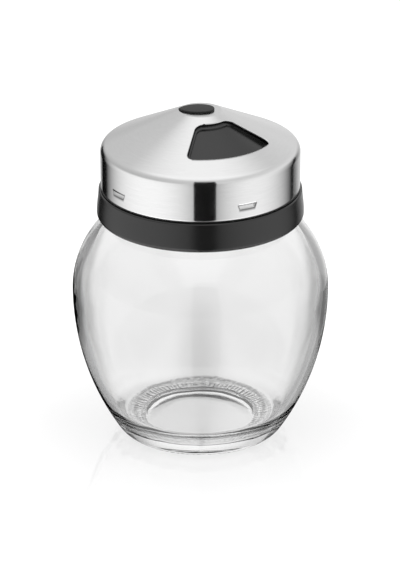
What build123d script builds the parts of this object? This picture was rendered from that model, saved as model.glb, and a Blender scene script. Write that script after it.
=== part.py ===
from build123d import *
import os
from math import atan2, cos, degrees, radians, sin, sqrt

# Glass spice shaker: a round jar, a black screw cap with four dispensing fans in its deck,
# and a turning steel cover whose one window picks a fan. Millimetres, +Z up, z = 0 on the table,
# the front of the object faces -Y.

# Driving dimensions of the jar
belly_radius = 37.5
belly_height = 44.4
body_round = 77.0
shoulder_round = 28.6
shoulder_turn = 50.0
heel_round = 5.0
wall = 2.7
floor_height = 5.0
floor_corner_round = 12.0
foot_inner = 18.2
push_up_radius = 16.5
push_up_edge = 1.0
push_up_height = 2.6
push_up_slope = -0.35
neck_outer = 25.3
neck_inner = 22.6
neck_root_round = 2.5
bead_radius = 26.1
bead_bottom = 70.2
bead_height = 1.6
bead_slope = 0.5
rim_height = 85.5
rim_outer_round = 1.1
rim_inner_round = 0.9

# Driving dimensions of the seal and the screw cap
liner_inner = 22.3
liner_outer = 26.2
liner_thickness = 1.1
seal_gap = 0.05
collar_bottom = 67.3
collar_top = 75.95
collar_radius = 29.5
collar_taper = 0.04
lip_radius = 30.1
cap_bore = 26.5
bore_lead_in = 0.8
plug_inner = 20.9
plug_outer = 22.0
plug_bottom = 83.6
cap_skirt_radius = 28.15
deck_reference_radius = 8.4
deck_reference_height = 97.6
deck_slope = 0.508
deck_drop = 1.9
deck_shoulder_round = 2.0
collar_edge_round = 0.4
lip_round = 1.4
boss_radius = 5.0
boss_top = 99.0
boss_bottom = 94.2
boss_foot_radius = 6.0
groove_radius = 27.4
groove_bottom = 78.8
groove_top = 80.9

# Driving dimensions of the steel cover
cover_radius = 28.9
cover_bottom = 76.25
sheet = 0.45
cone_slope = 0.468
cone_reference_radius = 5.2
cone_reference_height = 99.92
cover_shoulder_round = 2.6
land_radius = 6.1
cover_hole = 3.2
window_cut_bottom = 90.0

# A fan lies between two arcs and two straight edges at right angles, which pass beside the axis.
# Each is given by its inner and outer radius and the distance of its two edges from the axis.
fan_count = 4
fan_turn = -103.4
fan_corner = 2.0
window_fan = (8.7, 21.35, 0.8, 2.3)
recess_fan = (9.5, 20.8, 1.4, 2.9)
mouth_fan = (10.6, 19.2, 2.6, 4.4)

# Lanced tabs that are pressed inwards and hook into the groove of the cap
tab_directions = [-54.0, 27.4, 126.0, 207.4]
tab_bottom = 79.25
tab_top = 80.55
tab_bottom_width = 4.9
tab_top_width = 5.8
tab_depth = 0.8
tab_foot_radius = 28.47
tab_foot_thickness = 0.18
pocket_start = 0.05

# Deck of the cap, quarter by quarter: blank, fine holes, coarse holes, pouring mouth
recess_depth = 0.5
hole_middle = 41.7
fine_step = 1
fine_hole_radius = 1.0
fine_rows = [(11.6, 3, 19.0), (14.2, 4, 17.0), (16.9, 5, 15.0)]
coarse_step = 2
coarse_hole_radius = 2.1
coarse_rows = [(12.3, 2, 28.0), (16.9, 3, 22.5)]
mouth_step = 3

# Driving dimensions of the hub button, whose lens-shaped head is pointed on the left
button_length = 11.7
button_width = 6.75
button_shift = -0.6
button_left_round = 0.8
button_right_round = 3.0
button_top = 100.15
button_dome = 120.0
button_edge_round = 0.2
button_clearance = 0.1
journal_radius = 3.13
stem_radius = 2.2
barb_radius = 2.6
barb_height = 0.7
barb_taper = 0.3
stem_end = 92.4
stem_slot = 0.8
stem_slot_top = 98.0

# Values worked out from the driving dimensions
body_centre = belly_radius - body_round
shoulder_centre = belly_radius - shoulder_round
cone_corner_height = cone_reference_height - cone_slope * (cover_radius - cone_reference_radius)
land_height = cone_reference_height - cone_slope * (land_radius - cone_reference_radius)
seat_height = rim_height + liner_thickness + 2 * seal_gap
sheet_middle = cover_radius - sheet / 2
tab_inner_face = cover_radius - tab_depth - sheet
flange_bottom = land_height + button_clearance
quarter = 360 / fan_count
above_all = button_top + 5
button_arc = (button_length**2 + button_width**2) / (4 * button_width)
button_arc_shift = button_arc - button_width / 2


def deck_height(radius, below=0.0):
    """Height of the conical deck at a radius, or of a cone a little below it."""
    return deck_reference_height - deck_slope * (radius - deck_reference_radius) - below


def bottom_corner(height, side_round, corner_round):
    """Radius where a flat bottom ends, and the turn of the corner arc that leads into the side arc."""
    drop = belly_height - height - corner_round
    reach = sqrt((side_round - corner_round) ** 2 - drop**2)
    return body_centre + reach, degrees(atan2(reach, drop))


def neck_cone_length(arc_round, root_round, neck_radius):
    """Length of the straight cone between the shoulder arc and the root arc of the neck."""
    turn = radians(shoulder_turn)
    arc_end = shoulder_centre + arc_round * cos(turn)
    root_width = root_round * (1 - cos(turn))
    return (arc_end - root_width - neck_radius) / sin(turn)


def ring_edges(part, radius, height):
    """The circular edges of a turned part that have this radius and lie at this height."""
    rings = part.edges().filter_by(GeomType.CIRCLE)
    rings = rings.filter_by(lambda edge: abs(edge.radius - radius) < 0.02)
    return rings.filter_by(lambda edge: abs(edge.center().Z - height) < 0.02)


def fan_shape(step, fan, height=0.0):
    """A fan with rounded corners, turned about the axis by a number of quarters."""
    inner, outer, left_offset, right_offset = fan
    turned = Plane.XY.offset(height).rotated((0, 0, fan_turn + step * quarter))
    with BuildSketch(turned) as outline:
        Circle(outer)
        Circle(inner, mode=Mode.SUBTRACT)
        with Locations((right_offset, left_offset)):
            Rectangle(outer, outer, align=(Align.MIN, Align.MIN), mode=Mode.INTERSECT)
        fillet(outline.vertices(), radius=fan_corner)
    return outline.sketch


# Jar: one turned outline of tangent arcs, with a ground foot ring and a push-up under the base
foot_outer, heel_turn = bottom_corner(0, body_round, heel_round)
floor_radius, floor_turn = bottom_corner(floor_height, body_round - wall, floor_corner_round)
outer_cone = neck_cone_length(shoulder_round, neck_root_round, neck_outer)
inner_cone = neck_cone_length(shoulder_round - wall, neck_root_round + wall, neck_inner)
cone_direction = (-sin(radians(shoulder_turn)), cos(radians(shoulder_turn)))
with BuildPart() as glass_jar:
    with BuildSketch(Plane.XZ):
        with BuildLine():
            Spline(
                (0, push_up_height),
                (push_up_radius, push_up_edge),
                tangents=((1, 0), (1, push_up_slope)),
            )
            Polyline((push_up_radius, push_up_edge), (foot_inner, 0), (foot_outer, 0))
            heel = JernArc((foot_outer, 0), (1, 0), heel_round, heel_turn)
            body = JernArc(heel @ 1, heel % 1, body_round, 90 - heel_turn)
            shoulder = JernArc(body @ 1, body % 1, shoulder_round, shoulder_turn)
            cone = PolarLine(shoulder @ 1, outer_cone, direction=cone_direction)
            root = JernArc(cone @ 1, cone % 1, neck_root_round, -shoulder_turn)
            neck = Polyline(
                root @ 1,
                (neck_outer, bead_bottom),
                (bead_radius, bead_bottom + bead_slope),
                (bead_radius, bead_bottom + bead_height - bead_slope),
                (neck_outer, bead_bottom + bead_height),
                (neck_outer, rim_height),
                (neck_inner, rim_height),
            )
            Line((0, push_up_height), (0, floor_height))
            floor = Line((0, floor_height), (floor_radius, floor_height))
            corner = JernArc(floor @ 1, floor % 1, floor_corner_round, floor_turn)
            side = JernArc(corner @ 1, corner % 1, body_round - wall, 90 - floor_turn)
            inner_shoulder = JernArc(side @ 1, side % 1, shoulder_round - wall, shoulder_turn)
            throat = PolarLine(inner_shoulder @ 1, inner_cone, direction=cone_direction)
            throat_arc = JernArc(throat @ 1, throat % 1, neck_root_round + wall, -shoulder_turn)
            Line(throat_arc @ 1, neck @ 1)
        make_face()
    revolve(axis=Axis.Z)
    fillet(ring_edges(glass_jar, neck_outer, rim_height), radius=rim_outer_round)
    fillet(ring_edges(glass_jar, neck_inner, rim_height), radius=rim_inner_round)

# Seal: a flat soft ring between the rim of the jar and the seat in the cap
with BuildPart() as cap_liner:
    with BuildSketch(Plane.XY.offset(rim_height + seal_gap)):
        Circle(liner_outer)
        Circle(liner_inner, mode=Mode.SUBTRACT)
    extrude(amount=liner_thickness)

# Cutter for the four fans: everything inside a fan and above the floor of its recess
with BuildPart() as recess_cutter:
    for step in range(fan_count):
        extrude(fan_shape(step, recess_fan), amount=above_all)
    with BuildSketch(Plane.XZ):
        with BuildLine():
            Polyline(
                (0, deck_height(0, recess_depth)),
                (cover_radius, deck_height(cover_radius, recess_depth)),
                (cover_radius, above_all),
                (0, above_all),
                close=True,
            )
        make_face()
    revolve(axis=Axis.Z, mode=Mode.INTERSECT)

# Cap: flared collar with a rounded lower lip, skirt with the cover's groove, and conical deck
with BuildPart() as screw_cap:
    with BuildSketch(Plane.XZ):
        with BuildLine():
            flare = Spline(
                (collar_radius, collar_top),
                (lip_radius, collar_bottom + lip_round),
                tangents=((collar_taper, -1), (0, -1)),
            )
            lip = JernArc(flare @ 1, (0, -1), lip_round, -90)
            Polyline(
                lip @ 1,
                (cap_bore + bore_lead_in, collar_bottom),
                (cap_bore, collar_bottom + bore_lead_in),
                (cap_bore, seat_height),
                (plug_outer, seat_height),
                (plug_outer, plug_bottom),
                (plug_inner, plug_bottom),
                (plug_inner, deck_height(plug_inner, deck_drop)),
                (boss_radius, deck_height(boss_radius, deck_drop)),
                (boss_radius, boss_bottom),
                (stem_radius, boss_bottom),
                (stem_radius, boss_top),
                (boss_radius, boss_top),
                (boss_foot_radius, deck_height(boss_foot_radius)),
                (cap_skirt_radius, deck_height(cap_skirt_radius)),
                (cap_skirt_radius, groove_top),
                (groove_radius, groove_top),
                (groove_radius, groove_bottom),
                (cap_skirt_radius, groove_bottom),
                (cap_skirt_radius, collar_top),
                (collar_radius, collar_top),
            )
        make_face()
    revolve(axis=Axis.Z)
    shoulder_height = deck_height(cap_skirt_radius)
    fillet(ring_edges(screw_cap, cap_skirt_radius, shoulder_height), radius=deck_shoulder_round)
    fillet(ring_edges(screw_cap, collar_radius, collar_top), radius=collar_edge_round)
    add(recess_cutter.part, mode=Mode.SUBTRACT)
    for step, hole_radius, rows in (
        (fine_step, fine_hole_radius, fine_rows),
        (coarse_step, coarse_hole_radius, coarse_rows),
    ):
        middle = fan_turn + step * quarter + hole_middle
        for row_radius, count, pitch in rows:
            span = pitch * (count - 1)
            with PolarLocations(row_radius, count, middle - span / 2, span, endpoint=True):
                Cylinder(hole_radius, 2 * above_all, mode=Mode.SUBTRACT)
    extrude(
        fan_shape(mouth_step, mouth_fan, plug_bottom),
        amount=above_all - plug_bottom,
        mode=Mode.SUBTRACT,
    )

# Tools that lance one tab at the front of the cover: the metal behind it and the pocket before it
with BuildPart() as tab_metal:
    with BuildSketch(Plane.XY.offset(tab_bottom - sheet)):
        with Locations((0, -tab_foot_radius)):
            Rectangle(
                tab_bottom_width + sheet,
                tab_foot_thickness,
                align=(Align.CENTER, Align.MAX),
            )
    with BuildSketch(Plane.XY.offset(tab_top)):
        with Locations((0, -tab_inner_face)):
            Rectangle(
                tab_top_width + 2 * sheet,
                sheet_middle - tab_inner_face,
                align=(Align.CENTER, Align.MAX),
            )
    loft(ruled=True)

with BuildPart() as tab_pocket:
    with BuildSketch(Plane.XY.offset(tab_bottom)):
        with Locations((0, -cover_radius)):
            Rectangle(tab_bottom_width, pocket_start, align=(Align.CENTER, Align.MAX))
    with BuildSketch(Plane.XY.offset(tab_top)):
        with Locations((0, -(cover_radius - tab_depth))):
            Rectangle(tab_top_width, 2 * tab_depth, align=(Align.CENTER, Align.MAX))
    loft(ruled=True)

# Cover: a deep-drawn sheet with a flat land round its centre hole, one window and four tabs
with BuildPart() as steel_cover:
    with BuildSketch(Plane.XZ):
        with BuildLine() as drawn_sheet:
            Polyline(
                (cover_hole, land_height),
                (land_radius, land_height),
                (cover_radius, cone_corner_height),
                (cover_radius, cover_bottom),
            )
            shoulder_corner = drawn_sheet.vertices().sort_by(Axis.Y)[1]
            fillet(shoulder_corner, radius=cover_shoulder_round)
            offset(amount=sheet, side=Side.RIGHT)
        make_face()
    revolve(axis=Axis.Z)
    extrude(fan_shape(0, window_fan, window_cut_bottom), amount=above_all, mode=Mode.SUBTRACT)
    for direction in tab_directions:
        add(tab_metal.part, rotation=(0, 0, direction))
        add(tab_pocket.part, rotation=(0, 0, direction), mode=Mode.SUBTRACT)

# Hub button: a lens-shaped head close over the land, on a slotted stem that snaps under the boss
with BuildPart() as hub_button:
    with BuildSketch(Plane.XY.offset(flange_bottom)) as head:
        with Locations((button_shift, button_arc_shift)):
            Circle(button_arc)
        with Locations((button_shift, -button_arc_shift)):
            Circle(button_arc, mode=Mode.INTERSECT)
        fillet(head.vertices().sort_by(Axis.X)[0], radius=button_left_round)
        fillet(head.vertices().sort_by(Axis.X)[-1], radius=button_right_round)
    extrude(amount=above_all - flange_bottom)
    with Locations((0, 0, button_top - button_dome)):
        Sphere(button_dome, mode=Mode.INTERSECT)
    fillet(hub_button.faces().sort_by(Axis.Z)[-1].edges(), radius=button_edge_round)
    with BuildSketch(Plane.XZ):
        with BuildLine():
            Polyline(
                (0, flange_bottom),
                (journal_radius, flange_bottom),
                (journal_radius, boss_top),
                (stem_radius, boss_top),
                (stem_radius, boss_bottom),
                (barb_radius, boss_bottom),
                (barb_radius, boss_bottom - barb_height),
                (stem_radius - barb_taper, stem_end),
                (0, stem_end),
                close=True,
            )
        make_face()
    revolve(axis=Axis.Z)
    with BuildSketch(Plane.XY.offset(stem_end)):
        Rectangle(stem_slot, 2 * journal_radius)
        Rectangle(2 * journal_radius, stem_slot)
    extrude(amount=stem_slot_top - stem_end, mode=Mode.SUBTRACT)

# Finished pieces
glass_jar.part.label = "glass_jar"
cap_liner.part.label = "cap_liner"
screw_cap.part.label = "screw_cap"
steel_cover.part.label = "steel_cover"
hub_button.part.label = "hub_button"

os.makedirs("parts", exist_ok=True)
export_step(glass_jar.part, "parts/glass_jar.step")
export_step(cap_liner.part, "parts/cap_liner.step")
export_step(screw_cap.part, "parts/screw_cap.step")
export_step(steel_cover.part, "parts/steel_cover.step")
export_step(hub_button.part, "parts/hub_button.step")
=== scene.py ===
from math import acos, atan2, cos, degrees, pi, radians, sin, sqrt, tan

import bpy
import numpy as np
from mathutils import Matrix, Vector


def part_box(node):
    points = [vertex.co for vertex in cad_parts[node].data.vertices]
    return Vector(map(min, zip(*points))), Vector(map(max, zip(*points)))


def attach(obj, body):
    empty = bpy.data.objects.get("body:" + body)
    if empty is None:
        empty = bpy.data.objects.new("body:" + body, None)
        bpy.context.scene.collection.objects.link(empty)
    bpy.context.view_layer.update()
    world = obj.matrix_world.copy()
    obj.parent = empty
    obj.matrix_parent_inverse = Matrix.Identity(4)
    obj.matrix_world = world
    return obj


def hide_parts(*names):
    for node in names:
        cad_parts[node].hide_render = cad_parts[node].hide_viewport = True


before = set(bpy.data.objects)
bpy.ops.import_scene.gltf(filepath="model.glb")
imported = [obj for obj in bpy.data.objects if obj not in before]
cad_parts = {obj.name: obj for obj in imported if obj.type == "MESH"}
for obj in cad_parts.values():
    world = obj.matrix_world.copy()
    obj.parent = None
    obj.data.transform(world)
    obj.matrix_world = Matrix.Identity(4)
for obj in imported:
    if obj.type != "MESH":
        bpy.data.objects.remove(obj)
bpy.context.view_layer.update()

mm = 0.001

# Outer sizes, from the solids
jar_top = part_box("glass_jar")[1]
cover_low, cover_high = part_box("steel_cover")
seal_low, seal_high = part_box("cap_liner")

# Jar
belly_radius = jar_top.x
belly_height = 44.4 * mm
body_round = 77.0 * mm
shoulder_round = 28.6 * mm
shoulder_turn = 50.0
heel_round = 5.0 * mm
wall = 2.7 * mm
floor_height = 5.0 * mm
floor_corner_round = 12.0 * mm
foot_inner = 18.2 * mm
foot_edge_round = 0.5 * mm
push_up_radius = 16.5 * mm
push_up_edge = 1.0 * mm
push_up_height = 2.6 * mm
push_up_slope = -0.35
neck_outer = 25.3 * mm
neck_inner = 22.6 * mm
neck_root_round = 2.5 * mm
bead_radius = 26.1 * mm
bead_bottom = 70.2 * mm
bead_height = 1.6 * mm
bead_slope = 0.5 * mm
bead_round = 0.35 * mm
rim_height = jar_top.z
rim_outer_round = 1.1 * mm
rim_inner_round = 0.9 * mm

# Mesh of the jar. The steps are those of the corner, body, shoulder, neck cone and neck root.
jar_columns = 360
outside_steps = (16, 40, 20, 3, 8)
inside_steps = (16, 28, 13, 2, 8)
push_up_steps = 12
floor_steps = 8
foot_row_spacing = 0.45 * mm
neck_row_spacing = 0.4 * mm

# Knurled bearing ring under the jar
knurl_count = 96
knurl_depth = 0.07 * mm
knurl_inner = 17.2 * mm
knurl_outer = 22.4 * mm
knurl_top = 2.0 * mm
knurl_steepness = 1.6
knurl_wobble = 0.12
knurl_wobble_counts = (5, 9, 14)

# Uneven inside of the pressed and blown glass: a slow wave that twists on its way up, a quick
# wave in the corner of the floor and a wave across the floor, still at the axis and at the neck
slow_wave_depth = 0.03 * mm
slow_wave_counts = (2, 3, 5)
slow_wave_twist = 2.0
slow_wave_twist_height = 30.0 * mm
quick_wave_depth = 0.11 * mm
quick_wave_counts = (7, 11, 16, 29)
quick_wave_height = 7.5 * mm
quick_wave_inner = 13.6 * mm
quick_wave_edge = 4.0 * mm
floor_wave_depth = 0.05 * mm
floor_wave_counts = (1, 2, 4)
still_axis_radius = 9.0 * mm
still_neck_bottom = 67.2 * mm
still_neck_edge = 8.0 * mm

# Thread: three starts on the neck and three in the cap, right-handed
thread_starts = 3
thread_first = 20.0
thread_lead = 12.0 * mm
thread_width = 1.7 * mm
thread_height = 0.78 * mm
thread_peak = 1.2
thread_turn = 150.0
thread_run_out = 18.0
neck_thread_bottom = 74.6 * mm
cap_thread_drop = 1.75 * mm
cap_bore = 26.5 * mm
cap_thread_height = 0.85 * mm
cap_thread_turn = 130.0
cap_thread_sunk = 0.12 * mm
cap_thread_least_width = 0.02
cap_thread_across = 13
cap_thread_along = 90

# Cover
cover_radius = cover_high.x
cover_bottom = cover_low.z
sheet = 0.45 * mm
cone_slope = 0.468
cone_reference_radius = 5.2 * mm
cone_reference_height = 99.92 * mm
cover_shoulder_round = 2.6 * mm
land_radius = 6.1 * mm
land_round = 0.8 * mm
cover_hole = 3.2 * mm
fan_turn = radians(-103.4)
fan_corner = 2.0 * mm
window_inner = 8.7 * mm
window_outer = 21.35 * mm
window_left = 0.8 * mm
window_right = 2.3 * mm

# Mesh of the cover
strip_columns = 308
window_columns = 76
window_corner_rows = 8
window_middle_rows = 12
sheet_bend_steps = 14
cone_row_spacing = 0.6 * mm
shoulder_row_spacing = 0.5 * mm
skirt_rows = 10
tab_row_count = 11
hem_rows = 4
crowd_samples = 7201
outline_unit = 100.0 * mm

# Tabs in the cover's skirt, with directions in degrees from the front towards +X
tab_directions = [-54.0, 27.4, 126.0, 207.4]
tab_bottom = 79.25 * mm
tab_top = 80.55 * mm
tab_bottom_width = 4.9 * mm
tab_top_width = 5.8 * mm
tab_depth = 0.8 * mm
tab_bend_rise = 0.22
tab_bend_share = 0.5
tab_side_ramp = 0.35 * mm
# Width of the line of painted shade round each tab
tab_line_width = 0.16 * mm
tab_crowd = 2.2
tab_crowd_reach = 8.5
tab_crowd_edge = 2.0

# Seal
seal_inner = 22.3 * mm
seal_edge_round = 0.25 * mm
seal_row_spacing = 0.6 * mm
seal_columns = 200

# Grain, dark specks and lines of painted shade at the ring under the jar: radii and heights between
# which they fade, and levels of the grain with the darkness at these levels
grain_start = (16.2 * mm, 17.0 * mm)
grain_top = (1.4 * mm, 0.9 * mm)
grain_depth = 0.16 * mm
tooth_share = 0.2
tooth_wander = 9.0
edge_wander = 0.9 * mm
inner_edge_rise = (knurl_inner - 0.45 * mm, knurl_inner - 0.1 * mm)
inner_edge_fall = (knurl_inner, knurl_inner + 0.25 * mm)
inner_edge_grain = ((0.42, 0.54), (0.1, 0.95))
heel_rise = (knurl_outer - 0.4 * mm, knurl_outer + 0.1 * mm)
heel_fall = (knurl_outer + 0.5 * mm, knurl_outer + 1.5 * mm)
heel_grain = ((0.3, 0.6), (0.35, 0.75))
edge_top = (1.6 * mm, 1.1 * mm)
corner_rise = (18.7 * mm, 19.3 * mm)
corner_fall = (19.8 * mm, 20.6 * mm)
corner_bottom = (2.5 * mm, 2.8 * mm)
corner_top = (8.0 * mm, 8.5 * mm)
corner_grain = ((0.35, 0.55), (0.35, 0.85))
speck_grain = ((0.48, 0.56), (0.0, 0.6))

# Noise scales, per metre. The brushing is read on a circle of radius 1, with heights stretched.
cord_scale = 60.0
grain_scale = 700.0
edge_scale = 260.0
brush_stretch = 1700.0
fine_brush_scale = 6.0
broad_brush_scale = 0.8
plastic_grain_scale = 2600.0
plastic_cloud_scale = 120.0
seal_cell_scale = 3200.0

# Bumps: depth and strength
cord_bump = (0.3 * mm, 0.3)
brush_bump = (0.0015 * mm, 0.5)
plastic_bump = (0.01 * mm, 0.25)
seal_bump = (0.03 * mm, 0.5)

# Greys, roughness and refraction
white = (1, 1, 1, 1)
glass_greys = (0.955, 0.985)
# Grey of the painted shade lines and of the dark specks at the ring under the jar
glass_shade_and_speck_grey = 0.12
steel_greys = (0.67, 0.73)
# Grey of the painted shade along each tab's outline
steel_painted_shade = 0.16
brush_contrast = (0.3, 0.7)
steel_roughness = (0.12, 0.15)
plastic_shades = (0.85, 1.2)
plastic_sheen = (-0.03, 0.04)
seal_greys = (0.68, 0.8)
seal_roughness = 0.6
card_grey = 0.01
glass_refraction = 1.5
plastic_refraction = 1.5


def chain(start, heading, *moves):
    """Points of an outline in the (radius, height) plane. Each move is a straight line
    (length, steps) or a tangent arc (radius, turn in degrees, steps); a positive turn is to the
    left. An arc's points are centre + radius * (sin, -cos) of the running heading."""
    points = [np.array([start])]
    place = np.array(start, float)
    angle = radians(heading)
    for move in moves:
        if len(move) == 2:
            length, steps = move
            ahead = np.array([cos(angle), sin(angle)])
            path = place + np.outer(np.linspace(0, length, steps + 1)[1:], ahead)
        else:
            radius, turn, steps = move
            side = np.sign(turn)
            centre = place + side * radius * np.array([-sin(angle), cos(angle)])
            run = angle + np.linspace(0, radians(turn), steps + 1)[1:]
            path = centre + side * radius * np.stack([np.sin(run), -np.cos(run)], axis=1)
            angle += radians(turn)
        points.append(path)
        place = path[-1]
    return np.concatenate(points)


def rounded(corners, radii, steps=6):
    """A polyline whose corners are replaced by arcs tangent to both sides. The arc starts
    radius / tan(half the corner's angle) before the corner, and its points lie at the radius from
    a centre on the bisector. A point just before and after each arc keeps the flats flat."""
    corners = np.array(corners, float)
    points = [corners[:1]]
    for before, corner, after, radius in zip(corners, corners[1:], corners[2:], radii):
        back = (before - corner) / np.linalg.norm(before - corner)
        ahead = (after - corner) / np.linalg.norm(after - corner)
        half = acos(np.clip(back @ ahead, -1, 1)) / 2
        reach = radius / tan(half)
        bisector = (back + ahead) / np.linalg.norm(back + ahead)
        centre = corner + bisector * radius / sin(half)
        start = corner + back * reach - centre
        end = corner + ahead * reach - centre
        span = pi - 2 * half
        share = np.linspace(0, 1, steps + 1)[:, None]
        arc = (np.sin((1 - share) * span) * start + np.sin(share * span) * end) / sin(span)
        guard = 0.25 * reach
        points.append((corner + back * (reach + guard))[None])
        points.append(centre + arc)
        points.append((corner + ahead * (reach + guard))[None])
    points.append(corners[-1:])
    return np.concatenate(points)


def spread(points, longest):
    """The same polyline with extra points, so that no step is longer than the given length."""
    length = np.linalg.norm(np.diff(points, axis=0), axis=1)
    pieces = np.maximum(1, np.ceil(length / longest)).astype(int)
    at = np.concatenate([np.linspace(i, i + 1, n, endpoint=False) for i, n in enumerate(pieces)])
    at = np.append(at, len(points) - 1)
    index = np.arange(len(points))
    return np.stack([np.interp(at, index, points[:, 0]), np.interp(at, index, points[:, 1])], 1)


def ease(value):
    """0 below 0, 1 above 1 and 3v^2 - 2v^3 between."""
    value = np.clip(value, 0, 1)
    return value * value * (3 - 2 * value)


def place_object(name, data):
    """A new object in the scene with the given mesh, lamp or camera."""
    made = bpy.data.objects.new(name, data)
    bpy.context.scene.collection.objects.link(made)
    return made


def round_quads(index):
    """The quads of a grid of point numbers whose columns close in a ring."""
    following = np.roll(index, -1, axis=1)
    return np.stack([index[:-1], following[:-1], following[1:], index[1:]], axis=-1)


def grid_piece(name, grid, keep=None, uv=None, painted_tab_shade=None):
    """A mesh from a grid of points whose columns close round the axis. Points in one place are
    welded, quads with two equal corners become triangles, and quads outside keep are left out.
    The painted shade along the tabs is kept as an attribute of the points, for the material."""
    rows, columns, _ = grid.shape
    quads = round_quads(np.arange(rows * columns).reshape(rows, columns))
    points, first, weld = np.unique(
        np.round(grid.reshape(-1, 3), 9), axis=0, return_index=True, return_inverse=True,
    )
    quads = weld.reshape(-1)[quads]
    if keep is None:
        keep = np.ones(quads.shape[:2], bool)
    quads = quads[keep]
    if uv is not None:
        corners = np.stack([uv[:-1, :-1], uv[:-1, 1:], uv[1:, 1:], uv[1:, :-1]], axis=2)[keep]
    equal = quads == np.roll(quads, -1, axis=1)
    whole = ~equal.any(axis=1)
    faces = quads[whole].tolist()
    spots = [corners[whole].reshape(-1, 2)] if uv is not None else []
    for side in range(4):
        single = equal[:, side] & (equal.sum(axis=1) == 1)
        faces += np.delete(quads[single], side, axis=1).tolist()
        if uv is not None:
            spots.append(np.delete(corners[single], side, axis=1).reshape(-1, 2))
    mesh = bpy.data.meshes.new(name)
    mesh.from_pydata(points.tolist(), [], faces)
    if uv is not None:
        layer = mesh.uv_layers.new(name="meridian")
        layer.data.foreach_set("uv", np.concatenate(spots).ravel())
    if painted_tab_shade is not None:
        layer = mesh.attributes.new("painted_tab_shade", "FLOAT", "POINT")
        layer.data.foreach_set("value", painted_tab_shade.reshape(-1)[first])
    mesh.shade_smooth()
    return place_object(name, mesh)


def columns_round(count):
    """Even angles round the axis, as the columns of a grid."""
    return np.linspace(0, 2 * pi, count, endpoint=False)[None, :]


def turned(radius, height, angle):
    """Points (radius * cos, radius * sin, height) of a turned surface, from arrays that spread
    to rows (along the outline) by columns (round the axis)."""
    radius, height, angle = np.broadcast_arrays(radius, height, angle)
    return np.stack([radius * np.cos(angle), radius * np.sin(angle), height], axis=-1)


def wave(angle, counts, seed):
    """A closed wavy line round the axis: a sum of sines of whole counts, each divided by the root
    of its count. The k-th sine has a phase of k times seed times the golden angle."""
    golden = radians(137.508)
    total = np.zeros_like(angle)
    for place, count in enumerate(counts):
        total += np.sin(count * angle + golden * seed * (place + 1)) / sqrt(count)
    return total


def thread_section(across):
    """Height of a thread ridge across its width, from -1 to 1: half a cosine, to a power that
    peaks it a little."""
    return np.cos(across * pi / 2) ** thread_peak


def thread_ends(along, turn):
    """Share of a thread ridge's full height along its turn, eased out to nothing at both ends."""
    run_out = radians(thread_run_out)
    return ease(along / run_out) * ease((radians(turn) - along) / run_out)


def neck_thread(angle, height):
    """Share of full height of the neck's right-handed thread at each point: the ridge's section
    across, round a middle that climbs by the lead in one turn, eased out at both ends."""
    share = np.zeros(np.broadcast(angle, height).shape)
    for start in range(thread_starts):
        along = np.mod(angle - radians(thread_first) - start * 2 * pi / thread_starts, 2 * pi)
        middle = neck_thread_bottom + thread_lead * along / (2 * pi)
        across = np.clip(np.abs(height - middle) / (thread_width / 2), 0, 1)
        share = np.maximum(share, thread_section(across) * thread_ends(along, thread_turn))
    return share


def bottom_corner(height, side_round, corner_round):
    """Radius where a flat bottom ends, and the turn of the corner arc into the side arc."""
    drop = belly_height - height - corner_round
    reach = sqrt((side_round - corner_round) ** 2 - drop**2)
    return belly_radius - body_round + reach, degrees(atan2(reach, drop))


def neck_cone_length(arc_round, root_round, neck_radius):
    """Length of the straight cone between the shoulder arc and the root arc of the neck."""
    turn = radians(shoulder_turn)
    arc_end = belly_radius - shoulder_round + arc_round * cos(turn)
    return (arc_end - root_round * (1 - cos(turn)) - neck_radius) / sin(turn)


def side_line(height, inset, corner_round, neck_radius, steps):
    """A side of the glass from the end of its flat bottom to the neck, at an inset from the
    outside: the arcs of the corner, the body and the shoulder, the neck's cone and its root arc."""
    side_round = body_round - inset
    turn_round, root_round = shoulder_round - inset, neck_root_round + inset
    bottom_radius, corner_turn = bottom_corner(height, side_round, corner_round)
    corner_steps, body_steps, shoulder_steps, cone_steps, root_steps = steps
    return chain(
        (bottom_radius, height),
        0,
        (corner_round, corner_turn, corner_steps),
        (side_round, 90 - corner_turn, body_steps),
        (turn_round, shoulder_turn, shoulder_steps),
        (neck_cone_length(turn_round, root_round, neck_radius), cone_steps),
        (root_round, -shoulder_turn, root_steps),
    )


def push_up_line():
    """The push-up from its middle to its edge: a cubic that leaves level and arrives at a slope,
    the sum of both ends and both directions weighted by Hermite's four polynomials."""
    share = np.linspace(0, 1, push_up_steps + 1)[:, None]
    start, end = np.array([0, push_up_height]), np.array([push_up_radius, push_up_edge])
    leave, arrive = push_up_radius * np.array([1, 0]), push_up_radius * np.array([1, push_up_slope])
    return (
        (2 * share**3 - 3 * share**2 + 1) * start
        + (share**3 - 2 * share**2 + share) * leave
        + (3 * share**2 - 2 * share**3) * end
        + (share**3 - share**2) * arrive
    )


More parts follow.
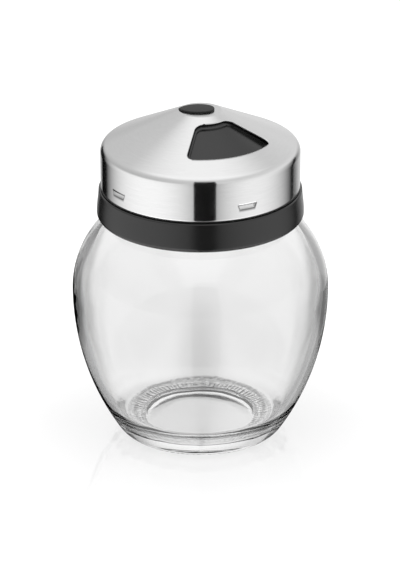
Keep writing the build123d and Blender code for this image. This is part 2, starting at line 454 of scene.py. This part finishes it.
def jar_outline():
    """The jar's outline from the middle of the push-up, round the foot, up the outside, over the
    rim and down the inside to the middle of the floor, with the row where the inside starts."""
    push_up = push_up_line()
    outside = side_line(0, 0, heel_round, neck_outer, outside_steps)
    foot = rounded([push_up[-1], (foot_inner, 0), outside[0]], [foot_edge_round], steps=4)
    foot = spread(foot, foot_row_spacing)
    wall_line = side_line(floor_height, wall, floor_corner_round, neck_inner, inside_steps)
    floor_line = np.linspace((0, floor_height), wall_line[0], floor_steps + 1)
    inside = np.concatenate([floor_line, wall_line[1:]])
    bead_top = bead_bottom + bead_height
    neck = rounded(
        [
            outside[-1],
            (neck_outer, bead_bottom),
            (bead_radius, bead_bottom + bead_slope),
            (bead_radius, bead_top - bead_slope),
            (neck_outer, bead_top),
            (neck_outer, rim_height),
            (neck_inner, rim_height),
            inside[-1],
        ],
        [bead_round, bead_round / 2, bead_round / 2, bead_round, rim_outer_round, rim_inner_round],
        steps=5,
    )
    outer_neck = spread(neck[neck[:, 0] > neck_inner + wall / 2], neck_row_spacing)
    inner_neck = neck[neck[:, 0] <= neck_inner + wall / 2]
    outer = [push_up, foot[1:], outside[1:], outer_neck[1:]]
    inner = [inner_neck, inside[::-1][1:]]
    inside_start = sum(len(part) for part in outer) + len(inner_neck)
    return np.concatenate(outer + inner), inside_start


def glass_jar_piece():
    """The jar, turned from its outline. The knurl lifts the bearing ring in cosine ridges, the
    thread adds its ridges to the neck, and the inside wanders by up to 0.2 mm across its line."""
    outline, inside_start = jar_outline()
    angle = columns_round(jar_columns)
    radius = np.repeat(outline[:, :1], jar_columns, axis=1)
    height = np.repeat(outline[:, 1:], jar_columns, axis=1)
    step = np.gradient(outline, axis=0)
    step /= np.maximum(np.linalg.norm(step, axis=1), 1e-9)[:, None]
    inside = np.arange(len(outline))[:, None] >= inside_start

    under = ~inside & (height < knurl_top)
    middle = (knurl_inner + knurl_outer) / 2
    on_ring = ease(knurl_steepness * (1 - np.abs(radius - middle) / (knurl_outer - middle)))
    wobble = knurl_wobble * wave(angle, knurl_wobble_counts, 2)
    teeth = 0.5 - 0.5 * np.cos(knurl_count * angle + wobble)
    height = height + under * on_ring * teeth * knurl_depth

    on_neck = ~inside & (height > bead_bottom + bead_height)
    radius = radius + on_neck * neck_thread(angle, height) * thread_height

    twist = slow_wave_twist * np.clip((height - floor_height) / slow_wave_twist_height, 0, 1)
    slow = slow_wave_depth * wave(angle + twist, slow_wave_counts, 1)
    in_corner = ease(1 - (height - floor_height) / quick_wave_height)
    in_corner = in_corner * ease((radius - quick_wave_inner) / quick_wave_edge)
    quick = quick_wave_depth * in_corner * wave(angle, quick_wave_counts, 4)
    across = floor_wave_depth * wave(angle, floor_wave_counts, 3) * (radius / neck_inner)
    loose = ease((still_neck_bottom - height) / still_neck_edge) * ease(radius / still_axis_radius)
    push = inside * loose * (slow + quick + across)
    radius = radius + push * step[:, 1:]
    height = height - push * step[:, :1]
    radius = np.where(np.abs(outline[:, :1]) < 1e-9, 0.0, radius)
    return grid_piece("glass_jar_blown", turned(radius, height, angle))


def window_edges(radius):
    """Angles of the window's right and left edges at a radius. The straight edges pass the axis
    at their offsets, and near the two arcs they turn in by corner - sqrt(corner^2 - depth^2)."""
    near = np.minimum(radius - window_inner, window_outer - radius)
    depth = np.clip(fan_corner - near, 0, fan_corner)
    turn_in = fan_corner - np.sqrt(fan_corner**2 - depth**2)
    left = fan_turn + np.arcsin(window_left / radius) + turn_in / radius
    right = fan_turn + np.arccos(window_right / radius) - turn_in / radius
    return left, right


def cone_height(radius):
    """Height of the cover's cone at a radius."""
    return cone_reference_height - cone_slope * (radius - cone_reference_radius)


def away_from_tab(angle, direction):
    """Angle from the middle of a tab, within half a turn to either side."""
    return np.mod(angle - radians(direction - 90) + pi, 2 * pi) - pi


def cover_rows():
    """The rows of the cover from the centre hole to the bottom edge of the skirt: points of its
    outline, the first and last row of the window, and the row above the parted lips of the tabs."""
    corner = fan_corner * (1 - np.cos(np.linspace(0, pi / 2, window_corner_rows)))
    ends = window_inner + fan_corner, window_outer - fan_corner
    middle = np.linspace(*ends, window_middle_rows + 2)[1:-1]
    window_rows = np.concatenate([window_inner + corner, middle, window_outer - corner[::-1]])
    outline = rounded(
        [
            (cover_hole, cone_height(land_radius)),
            (land_radius, cone_height(land_radius)),
            (cover_radius, cone_height(cover_radius)),
            (cover_radius, cover_bottom),
        ],
        [land_round, cover_shoulder_round],
        steps=sheet_bend_steps,
    )
    cone = np.stack([window_rows, cone_height(window_rows)], axis=1)
    inner = np.concatenate([outline[outline[:, 0] < window_inner], cone[:1]])
    inner = spread(inner, cone_row_spacing)[:-1]
    outer = np.concatenate([cone[-1:], outline[outline[:, 0] > window_outer]])
    skirt_top = outer[-2, 1]
    outer = spread(outer[:-1], shoulder_row_spacing)[1:]
    above_tabs = np.linspace(skirt_top, tab_top, skirt_rows + 1)[1:]
    tab_rows = np.linspace(tab_top, tab_bottom, tab_row_count)
    below_tabs = np.linspace(tab_bottom, cover_bottom, hem_rows + 1)[1:]
    skirt = np.concatenate([above_tabs, tab_rows, below_tabs])
    skirt = np.stack([np.full(len(skirt), cover_radius), skirt], axis=1)
    rows = np.concatenate([inner, cone, outer, skirt])
    first_window_row = len(inner)
    last_window_row = first_window_row + len(cone) - 1
    upper_lip_row = len(rows) - len(below_tabs) - len(tab_rows) - 1
    return rows, first_window_row, last_window_row, upper_lip_row


def cover_angles(rows, last_window_row, upper_lip_row):
    """Angles of the cover's columns at each row. On the cone they follow the window's edges; down
    the skirt they blend to columns that crowd at the four tabs."""
    radius = rows[:, :1]
    left, right = window_edges(np.clip(radius, window_inner, window_outer))
    share = np.linspace(0, 1, strip_columns + 1)[None, :]
    strip = right + (left + 2 * pi - right) * share
    share = np.linspace(0, 1, window_columns + 1)[None, 1:]
    pane = left + 2 * pi + (right - left) * share
    angle = np.concatenate([strip, pane], axis=1)

    fine = angle[last_window_row, 0] + np.linspace(0, 2 * pi, crowd_samples)
    crowd = np.ones_like(fine)
    for direction in tab_directions:
        beyond = np.abs(away_from_tab(fine, direction)) - radians(tab_crowd_reach)
        crowd += tab_crowd * ease(-beyond / radians(tab_crowd_edge))
    total = np.concatenate([[0], np.cumsum((crowd[1:] + crowd[:-1]) / 2)])
    crowded = np.interp(np.linspace(0, total[-1], angle.shape[1]), total, fine)
    row = np.arange(len(rows))
    blend = ease((row - last_window_row) / (upper_lip_row - last_window_row))[:, None]
    return angle * (1 - blend) + crowded * blend


def steel_cover_piece():
    """The drawn cover as one grid from the bottom edge of the skirt to the centre hole. Its
    columns follow the window's edges, and the quads inside the window are left out. On the skirt
    the columns crowd at the four tabs, which are pressed in and parted from the sheet above."""
    rows, first_window_row, last_window_row, upper_lip_row = cover_rows()
    angle = cover_angles(rows, last_window_row, upper_lip_row)
    radius, height = rows[:, :1], rows[:, 1:]

    depth = np.zeros_like(angle)
    # Painted shade: a dark line along the sides and bottom of each tab, where shade falls in the
    # pressed edge, kept for the steel's colour
    painted_tab_shade = np.zeros_like(angle)
    rise = np.clip((height - tab_bottom) / (tab_top - tab_bottom), 0, 1)
    half = (tab_bottom_width + (tab_top_width - tab_bottom_width) * rise) / 2
    pressed = np.interp(rise, [0, tab_bend_rise, 1], [0, tab_bend_share, 1])
    outside_tab = np.maximum(tab_bottom - height, height - tab_top)
    in_tab = (np.arange(len(rows))[:, None] > upper_lip_row) & (outside_tab <= 1e-6)
    for direction in tab_directions:
        beyond = np.abs(away_from_tab(angle, direction)) * cover_radius - half
        depth = depth + in_tab * pressed * ease(-beyond / tab_side_ramp) * tab_depth
        beside = np.maximum(np.abs(beyond), outside_tab)
        below = np.maximum(np.abs(height - tab_bottom), beyond)
        nearest = np.maximum(np.minimum(beside, below), 0)
        painted_tab_shade = np.maximum(painted_tab_shade, np.exp(-((nearest / tab_line_width) ** 2)))

    keep = np.ones((len(rows) - 1, strip_columns + window_columns), bool)
    keep[first_window_row:last_window_row, strip_columns:] = False
    keep[upper_lip_row] = False
    grid = turned(radius - depth, height, angle)
    length = np.concatenate([[0], np.cumsum(np.linalg.norm(np.diff(rows, axis=0), axis=1))])
    along = np.broadcast_to(length[:, None] / outline_unit, angle.shape)
    round_axis = (angle - angle[last_window_row, 0]) / (2 * pi)
    uv = np.stack([along, round_axis], axis=-1)
    piece = grid_piece(
        "steel_cover_drawn", grid[::-1, :-1], keep[::-1], uv[::-1], painted_tab_shade[::-1, :-1],
    )
    wall_maker = piece.modifiers.new("sheet", "SOLIDIFY")
    wall_maker.thickness = sheet
    wall_maker.offset = -1
    return piece


def liner_piece():
    """The seal: a flat ring whose outline is a rectangle with rounded corners."""
    low, high, outer = seal_low.z, seal_high.z, seal_high.x
    middle = (seal_inner + outer) / 2
    corners = [(outer, low), (outer, high), (seal_inner, high), (seal_inner, low)]
    outline = rounded(
        [(middle, low), *corners, (middle, low)], [seal_edge_round] * len(corners), steps=4,
    )
    outline = spread(outline, seal_row_spacing)
    angle = columns_round(seal_columns)
    return grid_piece("cap_liner_ring", turned(outline[:, :1], outline[:, 1:], angle))


def cap_thread_piece():
    """The ridges inside the cap's bore, each a closed loop carried along its turn. A loop's
    section is half a cosine that stands in from the bore wall and has its back sunk into the
    wall; both ends run out to nothing."""
    share = np.linspace(-1, 1, cap_thread_across)[None, :]
    along = np.linspace(0, radians(cap_thread_turn), cap_thread_along)[:, None]
    ends = thread_ends(along, cap_thread_turn)
    middle = neck_thread_bottom - cap_thread_drop + thread_lead * along / (2 * pi)
    stand = thread_section(share) * cap_thread_height * ends
    radius = cap_bore + cap_thread_sunk * (1 - ends) - stand
    height = middle + share * thread_width / 2 * np.maximum(ends, cap_thread_least_width)
    back = np.full_like(height, cap_bore + cap_thread_sunk)
    radius = np.concatenate([radius, back[:, -2:0:-1]], axis=1)
    height = np.concatenate([height, height[:, -2:0:-1]], axis=1)
    index = np.arange(radius.size).reshape(radius.shape)
    points, faces = [], []
    for start in range(thread_starts):
        angle = along + radians(thread_first) + start * 2 * pi / thread_starts
        points.append(turned(radius, height, angle).reshape(-1, 3))
        ring = index + start * radius.size
        faces += round_quads(ring).reshape(-1, 4).tolist()
        faces += [ring[0, ::-1].tolist(), ring[-1].tolist()]
    mesh = bpy.data.meshes.new("cap_thread_ridges")
    mesh.from_pydata(np.concatenate(points).tolist(), [], faces)
    mesh.shade_smooth()
    return place_object("cap_thread_ridges", mesh)


# Finishes
def fill(tree, node, **inputs):
    """Sets a node's inputs to values, or links them to other sockets. In a name an underscore
    stands for a space, and one with a number after it stands for the input of that number."""
    for key, value in inputs.items():
        socket = node.inputs[int(key[1:]) if key[0] == "_" else key.replace("_", " ")]
        if isinstance(value, bpy.types.NodeSocket):
            tree.links.new(value, socket)
        else:
            socket.default_value = value


def add_node(tree, kind, settings=None, **inputs):
    """A node of a kind, with its settings and its inputs."""
    made = tree.nodes.new(kind)
    for key, value in (settings or {}).items():
        setattr(made, key, value)
    fill(tree, made, **inputs)
    return made


def result(tree, kind, settings=None, output=0, **inputs):
    """The output of a new node: its first one, or the one of a name or number."""
    return add_node(tree, kind, settings, **inputs).outputs[output]


def new_material(name):
    """A material with its node tree, and the Principled shader in it."""
    made = bpy.data.materials.new(name)
    made.use_nodes = True
    return made, made.node_tree, made.node_tree.nodes["Principled BSDF"]


def cleared_tree(owner):
    """The emptied node tree of a material or world."""
    owner.use_nodes = True
    owner.node_tree.nodes.clear()
    return owner.node_tree


def object_place(tree):
    """The place on the piece, from its Object coordinates."""
    return result(tree, "ShaderNodeTexCoord", output="Object")


def axes(tree, vector):
    """The X, Y and Z of a vector."""
    parts = add_node(tree, "ShaderNodeSeparateXYZ", Vector=vector)
    return [parts.outputs[axis] for axis in "XYZ"]


def vector_math(tree, operation, *vectors, output="Vector"):
    """The result of a Vector Math node."""
    inputs = {f"_{place}": vector for place, vector in enumerate(vectors)}
    return result(tree, "ShaderNodeVectorMath", {"operation": operation}, output, **inputs)


def off_axis(tree, place):
    """The level vector from the axis to a place, and its length."""
    level = vector_math(tree, "MULTIPLY", place, (1, 1, 0))
    return level, vector_math(tree, "LENGTH", level, output="Value")


def math_node(tree, operation, *values):
    """The result of a Math node."""
    inputs = {f"_{place}": value for place, value in enumerate(values)}
    return result(tree, "ShaderNodeMath", {"operation": operation}, **inputs)


def product(tree, value, *others):
    """The product of several values."""
    for other in others:
        value = math_node(tree, "MULTIPLY", value, other)
    return value


def noise(tree, vector, scale, detail=2.0, roughness=0.5):
    """A noise value from 0 to 1 at a scale."""
    return result(
        tree, "ShaderNodeTexNoise", Vector=vector, Scale=scale, Detail=detail,
        Roughness=roughness,
    )


def remap(tree, value, low, high, from_low=0.0, from_high=1.0):
    """The value stretched from one range to another."""
    return result(
        tree, "ShaderNodeMapRange", Value=value, From_Min=from_low, From_Max=from_high,
        To_Min=low, To_Max=high,
    )


def smooth(tree, value, limits, levels=(0.0, 1.0)):
    """The first level before the first limit, the second one after the second limit, and eased
    between them."""
    return result(
        tree, "ShaderNodeMapRange", {"interpolation_type": "SMOOTHSTEP"}, Value=value,
        From_Min=limits[0], From_Max=limits[1], To_Min=levels[0], To_Max=levels[1],
    )


def band(tree, value, rise, fall):
    """1 between two soft edges and 0 outside them: smooth over the rise's limits, times smooth
    backwards over the fall's."""
    return product(tree, smooth(tree, value, rise), smooth(tree, value, fall[::-1]))


def mix(tree, factor, first, second):
    """A value between two values."""
    return result(tree, "ShaderNodeMix", _0=factor, _2=first, _3=second)


def colour_mix(tree, factor, first, second):
    """A colour between two, each given as a grey level or as another node's colour."""
    colours = []
    for colour in (first, second):
        is_socket = isinstance(colour, bpy.types.NodeSocket)
        colours.append(colour if is_socket else (colour, colour, colour, 1))
    return result(
        tree, "ShaderNodeMix", {"data_type": "RGBA"}, 2, _0=factor, _6=colours[0], _7=colours[1],
    )


def bump(tree, height, depth, strength=1.0, **normal):
    """A normal tilted by a height, starting from another normal if one is given."""
    return result(
        tree, "ShaderNodeBump", Height=height, Distance=depth, Strength=strength, **normal,
    )


def clear_glass():
    """Clear glass with faint cords in its surface and a little grey in its colour. Under the jar
    the ring has a raised grain with dark specks. Painted shade draws dark ragged lines along the
    ring's inner edge and the heel, and a fainter one at the corner of the floor above them, where
    the glass looks dark."""
    made, tree, shader = new_material("clear_glass")
    place = object_place(tree)
    x, y, z = axes(tree, place)
    reach = off_axis(tree, place)[1]
    cords = noise(tree, place, cord_scale)
    grain = noise(tree, place, grain_scale, detail=3.0, roughness=0.7)
    ring = product(tree, smooth(tree, reach, grain_start), smooth(tree, z, grain_top))

    round_axis = math_node(tree, "ARCTAN2", y, x)
    shift = product(tree, cords, tooth_wander)
    teeth = math_node(tree, "MULTIPLY_ADD", round_axis, float(knurl_count), shift)
    relief = math_node(tree, "MULTIPLY_ADD", math_node(tree, "SINE", teeth), tooth_share, grain)
    corded = bump(tree, cords, *cord_bump)
    normal = bump(tree, product(tree, relief, ring), grain_depth, Normal=corded)

    # Painted shade: dark ragged lines at the ring's inner edge, at the heel and at the corner of
    # the floor
    cloud = noise(tree, place, edge_scale, detail=4.0, roughness=0.65)
    wander = remap(tree, cloud, -edge_wander, edge_wander)
    ragged = math_node(tree, "ADD", reach, wander)
    inner_edge_shade = product(
        tree, band(tree, ragged, inner_edge_rise, inner_edge_fall),
        smooth(tree, grain, *inner_edge_grain),
    )
    heel = product(
        tree, band(tree, ragged, heel_rise, heel_fall), smooth(tree, grain, *heel_grain),
    )
    edges = product(
        tree, math_node(tree, "MAXIMUM", inner_edge_shade, heel), smooth(tree, z, edge_top),
    )
    corner = product(
        tree, band(tree, ragged, corner_rise, corner_fall),
        smooth(tree, grain, *corner_grain), band(tree, z, corner_bottom, corner_top),
    )
    specks = product(tree, smooth(tree, grain, *speck_grain), ring)
    # The painted shade lines and the dark specks together darken the glass's colour
    dark = math_node(tree, "MAXIMUM", math_node(tree, "ADD", edges, corner), specks)
    clear = colour_mix(tree, cords, *glass_greys)
    fill(
        tree, shader, Base_Color=colour_mix(tree, dark, clear, glass_shade_and_speck_grey), Normal=normal,
        Roughness=0.0, IOR=glass_refraction, Transmission_Weight=1.0,
    )
    return made


def brushed_steel():
    """Steel brushed round the axis: streaks of noise that run round, in colour, roughness and
    height, and a shine that spreads across them, along the meridians. The noise is read at the
    direction from the axis and at the height less the distance from the axis, which a large factor
    draws out to streaks. Painted shade darkens the outline of each tab, where shade falls in its
    pressed edge."""
    made, tree, shader = new_material("brushed_steel")
    place = object_place(tree)
    level, reach = off_axis(tree, place)
    round_x, round_y, _ = axes(tree, vector_math(tree, "NORMALIZE", level))
    down = math_node(tree, "SUBTRACT", axes(tree, place)[2], reach)
    brush = result(
        tree, "ShaderNodeCombineXYZ", X=round_x, Y=round_y, Z=product(tree, down, brush_stretch),
    )
    fine = noise(tree, brush, fine_brush_scale, detail=3.0, roughness=0.6)
    broad = noise(tree, brush, broad_brush_scale)
    # Painted shade along the tab outlines, read from the mesh
    painted_tab_shade = result(tree, "ShaderNodeAttribute", {"attribute_name": "painted_tab_shade"}, "Fac")
    clean = colour_mix(tree, remap(tree, fine, 0.0, 1.0, *brush_contrast), *steel_greys)
    meridian = {"direction_type": "UV_MAP", "uv_map": "meridian"}
    tangent = result(tree, "ShaderNodeTangent", meridian)
    fill(
        tree, shader, Base_Color=colour_mix(tree, painted_tab_shade, clean, steel_painted_shade),
        Roughness=remap(tree, broad, *steel_roughness), Normal=bump(tree, fine, *brush_bump),
        Metallic=1.0, Anisotropic=1.0, Tangent=tangent,
    )
    return made


def black_plastic(name, grey, roughness, shine):
    """Moulded black plastic: a fine spark-eroded grain and a faint unevenness of the sheen."""
    made, tree, shader = new_material(name)
    place = object_place(tree)
    grain = noise(tree, place, plastic_grain_scale)
    cloud = noise(tree, place, plastic_cloud_scale)
    greys = [grey * shade for shade in plastic_shades]
    sheen = [roughness + change for change in plastic_sheen]
    fill(
        tree, shader, Base_Color=colour_mix(tree, cloud, *greys), IOR=plastic_refraction,
        Roughness=remap(tree, cloud, *sheen), Normal=bump(tree, grain, *plastic_bump),
        Specular_IOR_Level=shine,
    )
    return made


def soft_liner():
    """White foamed seal sheet with fine cells."""
    made, tree, shader = new_material("soft_liner")
    cells = noise(tree, object_place(tree), seal_cell_scale, detail=3.0)
    fill(
        tree, shader, Base_Color=colour_mix(tree, cells, *seal_greys),
        Roughness=seal_roughness, Normal=bump(tree, cells, *seal_bump),
    )
    return made


# Studio
# Floor, in metres: places between which a level changes, and the levels. Seen through the glass,
# its glow is painted light and shade: its brightness changes by the steps of floor_falls, each
# between two angles in degrees beside an axis of the floor.
floor_size = 3.0
floor_falls = [(11.5, 19, -0.75), (24, 34, 0.45), (48, 80, -0.65)]
floor_eye_distance = 0.12
floor_side_share = 0.62
# Painted shadow: the glow that the camera sees is dimmed near the object, on top of its real shadow
floor_shadow = (0.035, 0.1)
floor_shadow_levels = (0.8, 1.0)
floor_grey = (0.3, 0.3, 0.3, 1)
floor_mirror = (0.04, 0.0)
floor_mirror_levels = (0.0, 0.15)
floor_mirror_blur = 0.03
# Painted reflection: a dark band on the floor behind the object, seen only through the glass
streak_half_width = 0.011
streak_near = (0.015, 0.035)
streak_far = (0.05, 0.12)
streak_depth = -0.22
# Painted shadow under the jar, seen only through the glass
under_jar = (0.022, 0.03)
under_jar_sides = (-0.02, 0.02)
under_jar_levels = (0.34, 0.18)
# Painted shade: seen through the glass, the floor is darker from behind the object towards the
# front
floor_back = (0.15, 0.04)
floor_back_levels = (1.0, 0.92)

# Soft panels round the object: middle and half width in degrees, power and radiance. The first
# two are measured from the front, the last one from the back.
left_panel = (-63, 75, 2.4, 1.3)
right_panel = (65, 64, 2.1, 1.16)
back_panel = (-8, 44, 1.5, 0.85)

# The world's limits are heights of the direction, from -1 to 1, or its share towards the back
below_horizon = (-0.45, -0.8)
below_horizon_levels = (1.0, 1.7)
overhead_start = (0.68, 1.0)
overhead_levels = (0.8, 1.3)
lean_end = (0.0, 0.9)
lean_levels = (0.3, 0.0)
upward_start = (-0.05, 0.3)
through_back = (0.2, 0.95)
through_levels = (0.15, 0.93)
diffuse_level = 0.6

# Camera
camera_elevation = 23.0
camera_distance = 0.9073
camera_aside = -0.12 * mm
camera_target_height = 44.75 * mm
camera_fitted_height = 52.68 * mm
camera_lens = 195.8
camera_sensor = 36.0

# Cards: first and last direction in degrees from the front towards +X, distance and top
card_bottom = -0.5
cards = {
    "front_flag": (-7.4, 17.4, 0.5, 0.47),
    "left_flag": (-153, -137, 0.5, 0.13),
    "right_flag": (125, 132, 0.5, 0.13),
    "left_low_flag": (-177, -152, 0.51, -0.13),
    "right_low_flag": (138, 177, 0.51, -0.13),
}

# Softboxes: place, width and height
softbox_aim = (0, 0, 0.06)
softbox_radiance = 1.1
softboxes = {
    "left_softbox": ((-0.75, -0.55, 0.55), 0.7, 0.9),
    "right_softbox": ((0.75, -0.55, 0.55), 0.7, 0.9),
    "top_softbox": ((0, 0.1, 1.0), 0.7, 0.7),
}


def painted_side_shade(tree, across, along):
    """Painted light and shade on the floor seen through glass, beside one axis: full near it, a dip
    beside it, dark far off.
    """
    before = math_node(tree, "ADD", math_node(tree, "ABSOLUTE", along), floor_eye_distance)
    aside = math_node(tree, "ABSOLUTE", math_node(tree, "ARCTAN2", across, before))
    level = 1.0
    for first, last, step in floor_falls:
        change = smooth(tree, aside, (radians(first), radians(last)), (0.0, step))
        level = math_node(tree, "ADD", change, level)
    return level


def pale_floor():
    """White sheet. Near the object the glow that the camera sees is dimmed, a painted shadow over
    its real soft shadow, and it mirrors a little; further off it glows full white. Seen through
    glass it glows with painted light and shade: bright along its axes, with a painted dark
    reflection as a faint grey band behind the object, painted shade beside the axes and a painted
    shadow under the object."""
    made = bpy.data.materials.new("pale_floor")
    tree = cleared_tree(made)
    place = object_place(tree)
    x, y, _ = axes(tree, place)
    reach = off_axis(tree, place)[1]
    paths = add_node(tree, "ShaderNodeLightPath").outputs

    # Painted shadow: the camera's glow is dimmed near the object
    shadow = smooth(tree, reach, floor_shadow, floor_shadow_levels)
    seen = product(tree, paths["Is Camera Ray"], shadow)
    glow = result(tree, "ShaderNodeEmission", Color=white, Strength=seen)
    diffuse = result(tree, "ShaderNodeBsdfDiffuse", Color=floor_grey)
    lit = result(tree, "ShaderNodeAddShader", _0=diffuse, _1=glow)
    mirror = result(tree, "ShaderNodeBsdfGlossy", Color=white, Roughness=floor_mirror_blur)
    mirror_share = smooth(tree, y, floor_mirror, floor_mirror_levels)
    plain = result(tree, "ShaderNodeMixShader", _0=mirror_share, _1=lit, _2=mirror)

    # Painted light and shade for what is seen through glass: darker beside the floor's axes, a
    # painted dark reflection behind the object and a painted shadow under it
    sideways = product(tree, painted_side_shade(tree, y, x), floor_side_share)
    fall = math_node(tree, "MAXIMUM", painted_side_shade(tree, x, y), sideways)
    in_streak = product(
        tree, smooth(tree, math_node(tree, "ABSOLUTE", x), (0.0, streak_half_width), (1.0, 0.0)),
        band(tree, y, streak_near, streak_far),
    )
    streak = math_node(tree, "MULTIPLY_ADD", in_streak, streak_depth, 1.0)
    under = product(
        tree, smooth(tree, reach, under_jar, (1.0, 0.0)),
        smooth(tree, x, under_jar_sides, under_jar_levels),
    )
    through = product(
        tree, fall, streak, math_node(tree, "SUBTRACT", 1.0, under),
        smooth(tree, y, floor_back, floor_back_levels),
    )
    behind = result(tree, "ShaderNodeEmission", Color=white, Strength=through)
    whole = result(
        tree, "ShaderNodeMixShader", _0=paths["Is Transmission Ray"], _1=plain, _2=behind,
    )
    add_node(tree, "ShaderNodeOutputMaterial", Surface=whole)
    return made


def black_card():
    """Matt black card."""
    made, tree, shader = new_material("black_card")
    grey = (card_grey, card_grey, card_grey, 1)
    fill(tree, shader, Base_Color=grey, Roughness=1.0, Specular_IOR_Level=0.0)
    return made


def plate(name, corners, material):
    """A flat four-cornered stage plate."""
    mesh = bpy.data.meshes.new(name)
    mesh.from_pydata(corners, [], [(0, 1, 2, 3)])
    mesh.materials.append(material)
    made = place_object(name, mesh)
    return made


def card(name, first, last, distance, top, material):
    """An upright card seen from the object between two directions, in degrees from the front
    towards +X. Only reflections show it."""
    corners = [(first, card_bottom), (last, card_bottom), (last, top), (first, top)]
    points = []
    for direction, height in corners:
        turn = radians(direction)
        points.append((distance * sin(turn), -distance * cos(turn), height))
    made = plate(name, points, material)
    made.visible_camera = False
    made.visible_diffuse = False
    made.visible_transmission = False
    made.visible_shadow = False


def softbox(name, place, width, height):
    """A rectangular lamp that faces the object, with the radiance that its face shows."""
    lamp = bpy.data.lights.new(name, "AREA")
    lamp.shape = "RECTANGLE"
    lamp.size = width
    lamp.size_y = height
    lamp.energy = softbox_radiance * pi * width * height
    made = place_object(name, lamp)
    made.location = place
    ahead = Vector(softbox_aim) - Vector(place)
    made.rotation_euler = ahead.to_track_quat("-Z", "Y").to_euler()
    made.visible_camera = False
    made.visible_glossy = False
    made.visible_transmission = False


def soft_panel(tree, azimuth, centre, half_width, power, radiance):
    """Radiance of an upright soft panel seen at an azimuth: full in its middle and
    radiance * (1 - (distance / half width) ^ power) to both sides."""
    away = math_node(tree, "ABSOLUTE", math_node(tree, "SUBTRACT", azimuth, radians(centre)))
    away = math_node(tree, "MINIMUM", math_node(tree, "DIVIDE", away, radians(half_width)), 1.0)
    fall = math_node(tree, "SUBTRACT", 1.0, math_node(tree, "POWER", away, power))
    return product(tree, fall, radiance)


def studio_world():
    """White for the camera. For reflections: soft panels on the left, on the right and at the
    back, whose light reaches below the horizon, and a soft panel overhead. For what is seen
    through glass: white at the back and grey elsewhere. Even grey light for the rest."""
    world = bpy.data.worlds.new("studio")
    tree = cleared_tree(world)
    x, y, z = axes(tree, result(tree, "ShaderNodeTexCoord", output="Generated"))
    from_front = math_node(tree, "ARCTAN2", x, product(tree, y, -1.0))
    from_back = math_node(tree, "ARCTAN2", product(tree, x, -1.0), y)
    left = soft_panel(tree, from_front, *left_panel)
    right = soft_panel(tree, from_front, *right_panel)
    back = soft_panel(tree, from_back, *back_panel)
    around = math_node(tree, "ADD", math_node(tree, "ADD", left, right), back)
    around = product(tree, around, smooth(tree, z, below_horizon, below_horizon_levels))
    lean = product(tree, x, smooth(tree, z, lean_end, lean_levels))
    above = math_node(tree, "ADD", smooth(tree, z, overhead_start, overhead_levels), lean)
    shine = mix(tree, smooth(tree, z, upward_start), around, above)
    through = smooth(tree, y, through_back, through_levels)
    paths = add_node(tree, "ShaderNodeLightPath").outputs
    strength = mix(tree, paths["Is Glossy Ray"], diffuse_level, shine)
    strength = mix(tree, paths["Is Transmission Ray"], strength, through)
    strength = mix(tree, paths["Is Camera Ray"], strength, 1.0)
    sky = result(tree, "ShaderNodeBackground", Color=white, Strength=strength)
    add_node(tree, "ShaderNodeOutputWorld", Surface=sky)
    world.cycles.sampling_method = "NONE"
    bpy.context.scene.world = world


def camera():
    """The photograph's view: 23 degrees above the table from the front, through a long lens. The
    camera stands off from the fitted middle and is aimed a little below it."""
    elevation = radians(camera_elevation)
    away = Vector((0, -cos(elevation), sin(elevation)))
    target = Vector((camera_aside, 0, camera_target_height))
    fitted = Vector((camera_aside, 0, camera_fitted_height))
    data = bpy.data.cameras.new("photo_camera")
    data.sensor_width = camera_sensor
    data.lens = camera_lens
    made = place_object("photo_camera", data)
    made.location = fitted + camera_distance * away
    made.rotation_euler = (target - made.location).to_track_quat("-Z", "Y").to_euler()
    bpy.context.scene.camera = made


# Pieces
def finish_piece(piece, material, body, slot, *nodes):
    """Gives a piece its finish and its body, and hides the nodes that it stands for. The slot is
    not used.
    """
    piece.data.materials.append(material)
    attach(piece, body)
    if nodes:
        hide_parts(*nodes)


glass = clear_glass()
steel = brushed_steel()
plastic = black_plastic("black_plastic", grey=0.012, roughness=0.22, shine=0.5)
button_plastic = black_plastic("black_button", grey=0.02, roughness=0.45, shine=0.2)
liner_foam = soft_liner()

finish_piece(glass_jar_piece(), glass, "jar", "clear_glass", "glass_jar")
finish_piece(steel_cover_piece(), steel, "cover", "brushed_steel", "steel_cover")
finish_piece(liner_piece(), liner_foam, "seal", "soft_liner", "cap_liner")
finish_piece(cap_thread_piece(), plastic, "cap", "black_plastic")
for node, material in (("screw_cap", plastic), ("hub_button", button_plastic)):
    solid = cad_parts[node]
    solid.data.materials.clear()
    solid.data.materials.append(material)

corner_signs = ((-1, -1), (1, -1), (1, 1), (-1, 1))
floor_corners = [(x * floor_size, y * floor_size, 0) for x, y in corner_signs]
floor = plate("floor", floor_corners, pale_floor())
floor.visible_glossy = False
flag = black_card()
for name, (first, last, distance, top) in cards.items():
    card(name, first, last, distance, top, flag)
for name, (place, width, height) in softboxes.items():
    softbox(name, place, width, height)
studio_world()
camera()
bpy.context.scene.view_settings.view_transform = "Standard"
